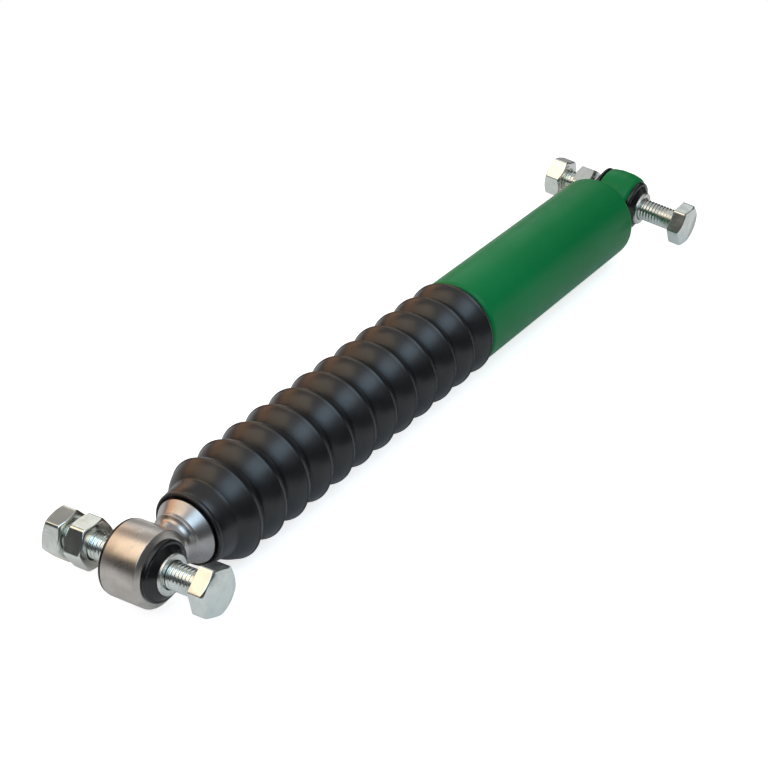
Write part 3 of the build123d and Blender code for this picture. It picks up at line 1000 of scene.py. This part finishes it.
def outerBulge(first, crest, last):
    # points from valley to valley over the crest, on the outside
    sides = []
    for foot, way in ((first, -1), (last, 1)):
        flank = flankPoints(foot, crest, 0, bellowsShape["steps"])
        flank = [spot for spot in flank if spot[0] > bellowsShape["mouldFrom"]]
        flank += mouldedCrest(crest[1])
        sides.append([(crest[0] + way * away, radius) for away, radius in flank])
    top = (crest[0], crest[1] + bellowsShape["mouldLine"])
    return sides[0] + [top] + sides[1][::-1]


def innerBulge(first, crest, last):
    # the same way on the inside, one wall further in
    sides = []
    for foot, way in ((first, -1), (last, 1)):
        flank = flankPoints(foot, crest, bellowsShape["wall"], bellowsShape["innerSteps"])
        sides.append([(crest[0] + way * away, radius) for away, radius in flank if away > 0])
    lowest = bellowsShape["valley"] - bellowsShape["wall"]
    return [spot for spot in sides[0] + sides[1][::-1] if spot[1] > lowest]


def makeBellows():
    shape = bellowsShape
    low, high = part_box("bellows")
    start, end = low.x / mm, high.x / mm
    crest = high.z / mm - shape["crestDrop"]
    root = start + shape["cuffLength"]
    count = shape["convolutions"]
    pitch = (end - root) / (count - 1 + shape["lastShare"])
    lip, valley, wall = shape["lipRadius"], shape["valley"], shape["wall"]
    outer = [(start + shape["dish"], shape["innerCuff"] + shape["dishRise"])]
    outer += [(start + along, lip + out) for along, out in shape["lipPoints"]]
    outer += [(root + along, shape["rootRadius"] + out) for along, out in shape["rootPoints"]]
    hollow = []
    for i in range(count):
        left = root + i * pitch
        first = (left, shape["rootRadius"] if i == 0 else valley)
        middle = (left + pitch / 2, crest)
        last = (left + pitch, valley)
        bulge = outerBulge(first, middle, last)
        inside = innerBulge((left, valley), middle, last)
        if i == count - 1:
            # the last bulge turns in early to meet the tube
            bulge = [spot for spot in bulge if spot[0] < end - shape["endTurn"]]
            bulge += [(end - back, shape["endRadius"] + out) for back, out in shape["endPoints"]]
            inside = [spot for spot in inside if spot[0] < end - wall - shape["innerEndTurn"]]
        outer += bulge if i == count - 1 else bulge[:-1]
        hollow.append(inside)
    # points that fall almost on the one before are left out
    cleaned = [outer[0]]
    for spot in outer[1:]:
        if math.dist(spot, cleaned[-1]) > shape["closest"]:
            cleaned.append(spot)
    inner = [(end, shape["hole"]), (end - wall, shape["hole"]), (end - wall, shape["endRadius"] - wall)]
    for inside in reversed(hollow):
        inner += reversed(inside)
    inner += [
        (root, shape["pocket"]),
        (start + shape["pocketStart"], shape["pocket"]),
        (start + shape["pocketStart"], shape["innerCuff"]),
        (start + shape["innerStart"], shape["innerCuff"]),
    ]
    outline = [(x * mm, radius * mm) for x, radius in cleaned + inner]
    bellows = lathedPiece("rubberBellows", damperPlace, outline, shape["columns"], sharpAngle=50.0)
    bellows.data.materials.append(bellowsRubber)
    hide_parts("bellows")
    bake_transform(bellows)


makeTube()
makeBodyEye()
print("tube and body eye made")
makeRodEnd()
print("rod end made")
makeBellows()
print("bellows made")
for end, place, bushBody, ringRadius, ringBack in (
    ("rod", rodEye, "rod", fittingShape["ringRadius"], fittingShape["ringBack"]),
    ("body", bodyEye, "damper_body", eyeShape["bushRim"], eyeShape["ringHalf"]),
):
    makeBush(end, place, bushBody, ringRadius, ringBack)
    makeSleeve(end, place)
    makeBolt(end, place)
    makeNut(end, "inner", place)
    makeNut(end, "outer", place)
print("bushes, sleeves, bolts and nuts made")

innerFinish = {
    "piston_rod": "chromedRod",
    "pressure_tube": "drawnSteel",
    "rod_guide": "sinteredIron",
    "rod_seal": "bushRubber",
    "seal_retainer": "springSteel",
    "rebound_stop": "drawnSteel",
    "compression_discs": "springSteel",
    "piston": "sinteredIron",
    "piston_ring": "ringPlastic",
    "rebound_discs": "springSteel",
    "piston_nut": "drawnSteel",
    "base_valve": "sinteredIron",
    "base_valve_disc": "springSteel",
    "base_valve_pin": "drawnSteel",
}
for node, finish in innerFinish.items():
    nodes[node].data.materials.clear()
    nodes[node].data.materials.append(innerMaterials[finish])
print("inner parts finished")


# Floor, lights and camera

studio = {
    "floorColour": (0.8, 0.8, 0.8),
    "floorSize": (0.76, 0.64),
    "floorGlow": 0.74,
    "glossyShare": 0.09,
    "middle": (-0.18, 0.0, 0.0),
    "skyHigh": 0.6,
    "skyLow": 0.06,
    "skyFrom": 0.45,
    "skyTo": 0.85,
}
lights = (
    # name, direction from the damper, distance and size in metres, watts, colour
    ("overheadSoftbox", (-0.41, -0.32, 0.85), 1.6, (1.9, 0.9), 12.2, (0.55, 0.79, 1.0)),
    ("creamSoftbox", (-0.38, 0.6, 0.7), 1.6, (1.3, 1.25), 6.9, (1.0, 0.78, 0.54)),
    ("warmPanel", (0.08, 0.95, 0.3), 1.6, (1.7, 0.7), 5.4, (1.0, 0.56, 0.32)),
    ("sideFill", (0.76, 0.5, 0.4), 1.6, (0.7, 1.1), 1.6, (0.95, 0.98, 1.0)),
    ("backFill", (0.51, 0.73, 0.45), 1.6, (0.55, 0.55), 0.8, (0.95, 1.0, 0.98)),
    ("frontFill", (0.7, -0.7, 0.1), 1.6, (0.9, 0.6), 1.1, (0.95, 0.98, 1.0)),
)


def makeFloor():
    low = cadBox[0].z
    halfX, halfY = (side / 2 for side in studio["floorSize"])
    middleX = (cadBox[0].x + cadBox[1].x) / 2
    mesh = bpy.data.meshes.new("floor")
    spots = [(middleX + x * halfX, y * halfY, low) for x, y in ((-1, -1), (1, -1), (1, 1), (-1, 1))]
    mesh.from_pydata(spots, [], [(0, 1, 2, 3)])
    floor = bpy.data.objects.new("floor", mesh)
    bpy.context.scene.collection.objects.link(floor)
    material = bpy.data.materials.new("paleFloor")
    material.use_nodes = True
    tree = material.node_tree
    tree.nodes.clear()
    diffuse = put(tree, "ShaderNodeBsdfDiffuse", Color=(*studio["floorColour"], 1))
    glow = put(tree, "ShaderNodeEmission", Strength=studio["floorGlow"])
    light = put(tree, "ShaderNodeLightPath")
    glossy = math2(tree, "MULTIPLY", light.outputs["Is Glossy Ray"], studio["glossyShare"])
    seen = math2(tree, "MAXIMUM", light.outputs["Is Camera Ray"], glossy)
    nothing = put(tree, "ShaderNodeEmission", Strength=0.0)
    choose = put(tree, "ShaderNodeMixShader")
    tree.links.new(seen, choose.inputs[0])
    tree.links.new(nothing.outputs[0], choose.inputs[1])
    tree.links.new(glow.outputs[0], choose.inputs[2])
    total = put(tree, "ShaderNodeAddShader")
    tree.links.new(diffuse.outputs[0], total.inputs[0])
    tree.links.new(choose.outputs[0], total.inputs[1])
    output = put(tree, "ShaderNodeOutputMaterial")
    tree.links.new(total.outputs[0], output.inputs["Surface"])
    floor.data.materials.append(material)


def makeLight(name, towards, distance, size, power, colour):
    lamp = bpy.data.lights.new(name, "AREA")
    lamp.shape = "RECTANGLE"
    lamp.size, lamp.size_y = size
    lamp.energy = power
    lamp.color = colour
    holder = bpy.data.objects.new(name, lamp)
    bpy.context.scene.collection.objects.link(holder)
    # the lamp's first side lies along the damper
    outward = Vector(towards).normalized()
    centre = Vector(studio["middle"]) + outward * distance
    holder.matrix_world = placeFrom(centre, outward, Vector((1, 0, 0)))


def makeWorld():
    world = bpy.data.worlds.new("studioWorld")
    bpy.context.scene.world = world
    world.use_nodes = True
    tree = world.node_tree
    tree.nodes.clear()
    # dark near the horizon and paler overhead, as a studio with a white ceiling is
    spot = put(tree, "ShaderNodeTexCoord").outputs["Generated"]
    split = put(tree, "ShaderNodeSeparateXYZ")
    tree.links.new(spot, split.inputs[0])
    level = stretched(
        tree, split.outputs["Z"], studio["skyFrom"], studio["skyTo"], studio["skyLow"], studio["skyHigh"]
    )
    light = put(tree, "ShaderNodeLightPath")
    strength = put(tree, "ShaderNodeMix", data_type="FLOAT")
    tree.links.new(light.outputs["Is Camera Ray"], strength.inputs[0])
    tree.links.new(level, strength.inputs[2])
    strength.inputs[3].default_value = 1.0  # the camera sees plain white
    background = put(tree, "ShaderNodeBackground", Color=(1, 1, 1, 1))
    tree.links.new(strength.outputs[0], background.inputs["Strength"])
    output = put(tree, "ShaderNodeOutputWorld")
    tree.links.new(background.outputs[0], output.inputs["Surface"])


cameraSetup = {
    "spot": (-0.716, -0.3079, 0.4153),
    "aim": (-0.1988, -0.0019, 0.0002),
    "up": (0.0, 0.1077, 0.9942),
    "lens": 87.46,
    "sensor": 36.0,
}


def makeCamera():
    data = bpy.data.cameras.new("photoCamera")
    data.lens = cameraSetup["lens"]
    data.sensor_width = cameraSetup["sensor"]
    data.clip_start, data.clip_end = 0.01, 50
    camera = bpy.data.objects.new("photoCamera", data)
    bpy.context.scene.collection.objects.link(camera)
    spot, aim = Vector(cameraSetup["spot"]), Vector(cameraSetup["aim"])
    ahead = (aim - spot).normalized()
    right = ahead.cross(Vector(cameraSetup["up"])).normalized()
    up = right.cross(ahead)
    columns = (right, up, -ahead, spot)
    camera.matrix_world = Matrix([[column[row] for column in columns] for row in range(3)] + [[0, 0, 0, 1]])
    bpy.context.scene.camera = camera


makeCamera()
makeFloor()
makeWorld()
for light in lights:
    makeLight(*light)
scene = bpy.context.scene
scene.view_settings.view_transform = "Standard"
print("floor, lights and camera made")
